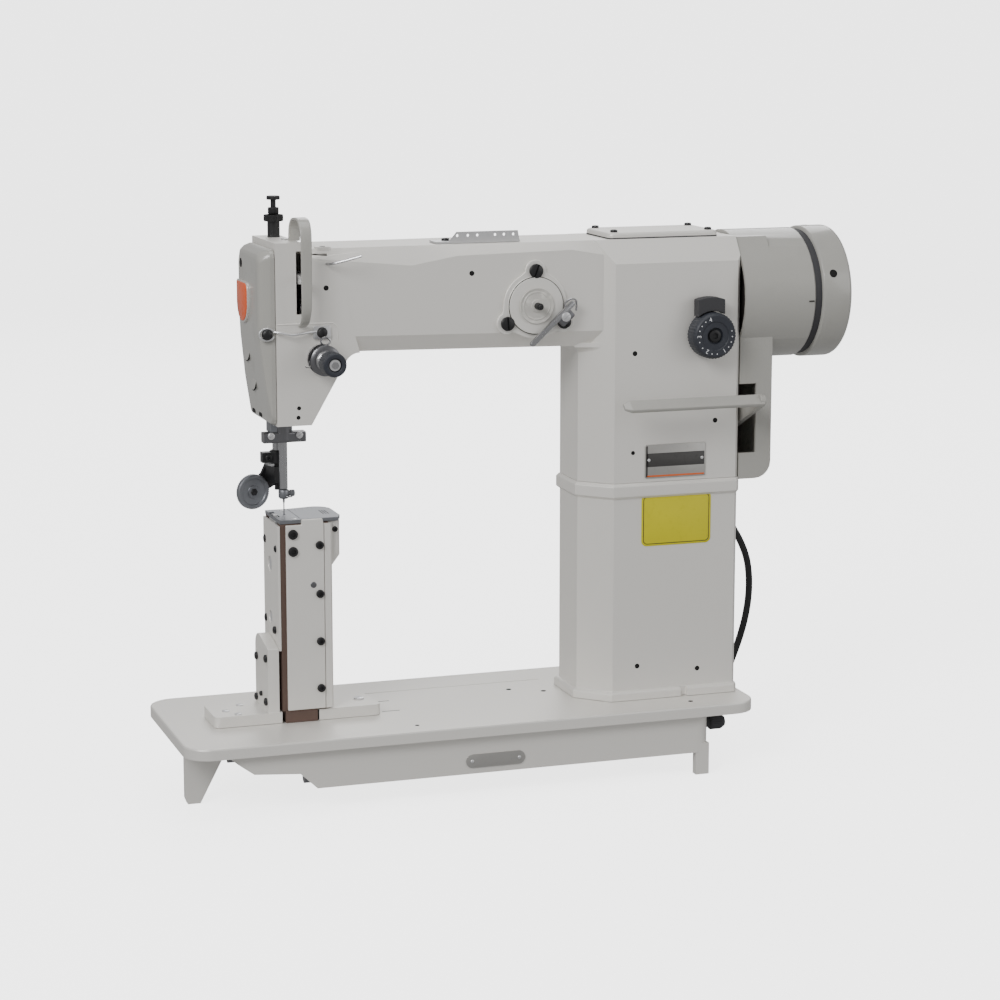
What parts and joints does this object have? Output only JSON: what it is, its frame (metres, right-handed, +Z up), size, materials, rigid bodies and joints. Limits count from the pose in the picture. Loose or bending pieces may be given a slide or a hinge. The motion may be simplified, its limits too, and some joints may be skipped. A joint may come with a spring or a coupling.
{
  "type": "post-bed leather sewing machine",
  "caption": "Post-bed leather sewing machine with a roller presser foot, feed wheel, arm, direct-drive motor, handwheel and bed plate.",
  "frame": {"origin": "on the surface that the machine stands on, under the middle of its box without the cable", "axes": "+X to the operator's right, from the head to the handwheel; +Y to the back, so the operator faces -Y; +Z up"},
  "size_m": [0.6144, 0.2814, 0.515],
  "materials": {
    "enamel": "warm light grey enamel, satin",
    "grey_enamel": "mid grey enamel, satin",
    "primer": "dark brown primer, matte",
    "steel": "bright machined steel",
    "dark_steel": "dark oiled steel",
    "black": "black, satin",
    "dial_plastic": "dark blue-grey moulding",
    "clear_plastic": "milky translucent moulding",
    "rubber": "black cable jacket and belt"
  },
  "bodies": {
    "machine": {"bed_casting": "enamel", "riser_column": "enamel", "arm_casting": "enamel", "arm_top_cover": "enamel", "arm_rear_cover": "enamel", "face_plate": "grey_enamel", "take_up_guard": "grey_enamel", "motor_cover": "grey_enamel", "motor_stator": "black", "needle_bar_guide": "dark_steel", "top_thread_guide": "steel", "front_thread_guide": "steel", "tension_post": "steel", "tension_discs": "steel", "tension_spring": "steel", "winder_plate": "enamel", "post_frame": "primer", "post_front_cover": "enamel", "post_side_cover": "enamel", "post_rear_cover": "enamel", "post_foot_left": "enamel", "post_foot_right": "enamel", "needle_plate": "dark_steel", "pressure_sleeve": "black", "presser_spring": "steel", "bobbin_case": "steel", "timing_belt": "rubber", "cable_gland": "black", "power_cable": "rubber", "cable_coil": "rubber", "cable_connector": "black"},
    "upper_shaft_body": {"main_shaft": "steel", "handwheel": "grey_enamel", "upper_pulley": "steel", "needle_bar_crank": "steel"},
    "lower_shaft_body": {"lower_shaft": "steel", "lower_pulley": "steel"},
    "hook_body": {"hook_shaft": "steel", "rotary_hook": "steel"},
    "link_body": {"needle_bar_link": "steel"},
    "needle_bar_body": {"needle_bar": "steel", "needle_clamp": "dark_steel", "needle": "steel"},
    "take_up_body": {"take_up_lever": "steel"},
    "presser_body": {"presser_bar": "steel", "roller_bracket": "black"},
    "roller_arm_body": {"roller_arm": "black"},
    "roller_body": {"presser_roller": "dark_steel"},
    "feed_wheel_body": {"feed_wheel": "steel"},
    "pressure_screw_body": {"pressure_screw": "black"},
    "tension_knob_body": {"tension_knob": "dial_plastic"},
    "check_spring_body": {"check_spring": "steel"},
    "dial_body": {"stitch_dial": "dial_plastic"},
    "latch_body": {"dial_latch": "black"},
    "reverse_lever_body": {"reverse_lever": "grey_enamel"},
    "winder_lever_body": {"winder_lever": "steel"},
    "winder_disc_body": {"winder_disc": "clear_plastic"},
    "lifter_body": {"presser_lifter_lever": "dark_steel"},
    "slide_plate_body": {"slide_plate": "dark_steel"},
    "bed_knob_body": {"bed_end_knob": "black"}
  },
  "joints": [
    {"name": "main_shaft_turn", "type": "hinge", "parent": "machine", "child": "upper_shaft_body", "pos_m": [0.0513, 0, 0.4195], "axis": [1, 0, 0], "continuous": true},
    {"name": "lower_shaft_turn", "type": "hinge", "parent": "machine", "child": "lower_shaft_body", "pos_m": [-0.0487, 0, 0.037], "axis": [1, 0, 0], "continuous": true},
    {"name": "hook_shaft_turn", "type": "hinge", "parent": "machine", "child": "hook_body", "pos_m": [-0.1827, 0, 0.125], "axis": [0, 0, 1], "continuous": true},
    {"name": "link_swing", "type": "hinge", "parent": "upper_shaft_body", "child": "link_body", "pos_m": [-0.1862, -0.015, 0.4195], "axis": [1, 0, 0], "continuous": true},
    {"name": "needle_bar_slide", "type": "slide", "parent": "machine", "child": "needle_bar_body", "axis": [0, 0, 1], "range_m": [-0.013, 0.02]},
    {"name": "take_up_swing", "type": "hinge", "parent": "machine", "child": "take_up_body", "pos_m": [-0.1942, -0.004, 0.4495], "axis": [1, 0, 0], "range_deg": [-18, 20]},
    {"name": "presser_bar_lift", "type": "slide", "parent": "machine", "child": "presser_body", "axis": [0, 0, 1], "range_m": [0, 0.008], "stiffness_N_per_m": 600, "springref_m": -0.01, "deforming": ["presser_spring"]},
    {"name": "roller_swing", "type": "hinge", "parent": "presser_body", "child": "roller_arm_body", "pos_m": [-0.2002, 0.022, 0.275], "axis": [0, 0, 1], "range_deg": [0, 75]},
    {"name": "roller_spin", "type": "hinge", "parent": "roller_arm_body", "child": "roller_body", "pos_m": [-0.22155, 0.02456, 0.2599], "axis": [0.2588, -0.9659, 0], "continuous": true},
    {"name": "feed_wheel_spin", "type": "hinge", "parent": "machine", "child": "feed_wheel_body", "pos_m": [-0.2084, 0.002, 0.2288], "axis": [1, 0, 0], "continuous": true},
    {"name": "pressure_screw_turn", "type": "hinge", "parent": "machine", "child": "pressure_screw_body", "pos_m": [-0.2002, 0.022, 0.495], "axis": [0, 0, 1], "range_deg": [-720, 720]},
    {"name": "tension_knob_turn", "type": "hinge", "parent": "machine", "child": "tension_knob_body", "pos_m": [-0.1757, -0.0767, 0.382], "axis": [0, 1, 0], "range_deg": [-720, 720]},
    {"name": "check_spring_swing", "type": "hinge", "parent": "machine", "child": "check_spring_body", "pos_m": [-0.1757, -0.0472, 0.382], "axis": [0, 1, 0], "range_deg": [0, 25], "stiffness_Nm_per_rad": 0.02, "springref_deg": -28.65},
    {"name": "stitch_dial_turn", "type": "hinge", "parent": "machine", "child": "dial_body", "pos_m": [0.1713, -0.06, 0.3905], "axis": [0, 1, 0], "range_deg": [0, 270]},
    {"name": "dial_latch_press", "type": "slide", "parent": "machine", "child": "latch_body", "axis": [0, 1, 0], "range_m": [0, 0.002], "stiffness_N_per_m": 250, "springref_m": -0.001},
    {"name": "reverse_lever_swing", "type": "hinge", "parent": "machine", "child": "reverse_lever_body", "pos_m": [0.2103, 0, 0.301], "axis": [1, 0, 0], "range_deg": [0, 20], "stiffness_Nm_per_rad": 0.8, "springref_deg": -20.05},
    {"name": "winder_lever_swing", "type": "hinge", "parent": "machine", "child": "winder_lever_body", "pos_m": [0.0354, -0.048, 0.4115], "axis": [0, 1, 0], "range_deg": [0, 20]},
    {"name": "winder_disc_turn", "type": "hinge", "parent": "machine", "child": "winder_disc_body", "pos_m": [0.0139, -0.05, 0.4205], "axis": [0, 1, 0], "continuous": true},
    {"name": "presser_lifter_swing", "type": "hinge", "parent": "machine", "child": "lifter_body", "pos_m": [-0.1762, 0.043, 0.3675], "axis": [0, 1, 0], "range_deg": [0, 40]},
    {"name": "slide_plate_slide", "type": "slide", "parent": "machine", "child": "slide_plate_body", "axis": [1, 0, 0], "range_m": [0, 0.022]},
    {"name": "bed_knob_turn", "type": "hinge", "parent": "machine", "child": "bed_knob_body", "pos_m": [0.1763, -0.062, 0.042], "axis": [1, 0, 0], "range_deg": [-360, 360]}
  ],
  "couplings": [
    {"joint": "lower_shaft_turn", "follows": "main_shaft_turn", "ratio": 1},
    {"joint": "hook_shaft_turn", "follows": "main_shaft_turn", "ratio": -2},
    {"joint": "link_swing", "follows": "main_shaft_turn", "ratio": -1}
  ]
}
